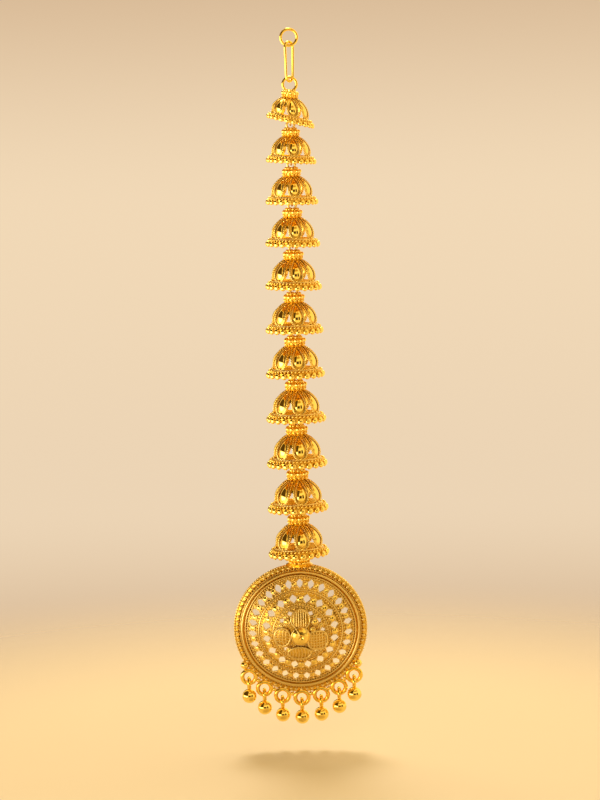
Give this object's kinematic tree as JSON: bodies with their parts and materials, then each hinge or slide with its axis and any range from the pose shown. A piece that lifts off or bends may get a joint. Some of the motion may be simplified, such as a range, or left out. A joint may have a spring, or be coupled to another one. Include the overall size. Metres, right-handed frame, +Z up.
{
  "type": "maang tikka",
  "caption": "Gold forehead jewel: a small hanging ring and long link, a tapering column of windowed bells, and a domed filigree medallion fringed with ball drops.",
  "frame": {"origin": "centre of the top ring, where the hair hook or pin goes through", "axes": "+Z up along the hanging column, -Y towards the front that faces the viewer, +X to the viewer's right"},
  "size_m": [0.0286, 0.013, 0.1484],
  "materials": {
    "wire_gold": "polished, gold plated",
    "bell_gold": "polished, gold plated, with mirror-bright petals",
    "rim_gold": "polished, gold plated",
    "filigree_gold": "bright satin, gold plated",
    "ball_gold": "mirror polished, gold plated"
  },
  "bodies": {
    "chain": {"top_ring": "wire_gold", "long_link": "wire_gold", "bell_01": "bell_gold", "bell_02": "bell_gold", "bell_03": "bell_gold", "bell_04": "bell_gold", "bell_05": "bell_gold", "bell_06": "bell_gold", "bell_07": "bell_gold", "bell_08": "bell_gold", "bell_09": "bell_gold", "bell_10": "bell_gold", "bell_11": "bell_gold", "link_01": "wire_gold", "link_02": "wire_gold", "link_03": "wire_gold", "link_04": "wire_gold", "link_05": "wire_gold", "link_06": "wire_gold", "link_07": "wire_gold", "link_08": "wire_gold", "link_09": "wire_gold", "link_10": "wire_gold"},
    "hanger": {"link_11": "wire_gold"},
    "pendant": {"medallion_rim": "rim_gold", "filigree_dome": "filigree_gold", "flower": "filigree_gold", "drop_1": "ball_gold", "drop_2": "ball_gold", "drop_3": "ball_gold", "drop_4": "ball_gold", "drop_5": "ball_gold", "drop_6": "ball_gold", "drop_7": "ball_gold"}
  },
  "joints": [
    {"name": "pendant_swing", "type": "hinge", "parent": "chain", "child": "hanger", "pos_m": [0, 0, -0.10427], "axis": [1, 0, 0], "range_deg": [-18, 18]},
    {"name": "pendant_sway", "type": "hinge", "parent": "hanger", "child": "pendant", "pos_m": [0, 0, -0.1085], "axis": [0, 1, 0], "range_deg": [-14, 14]}
  ]
}
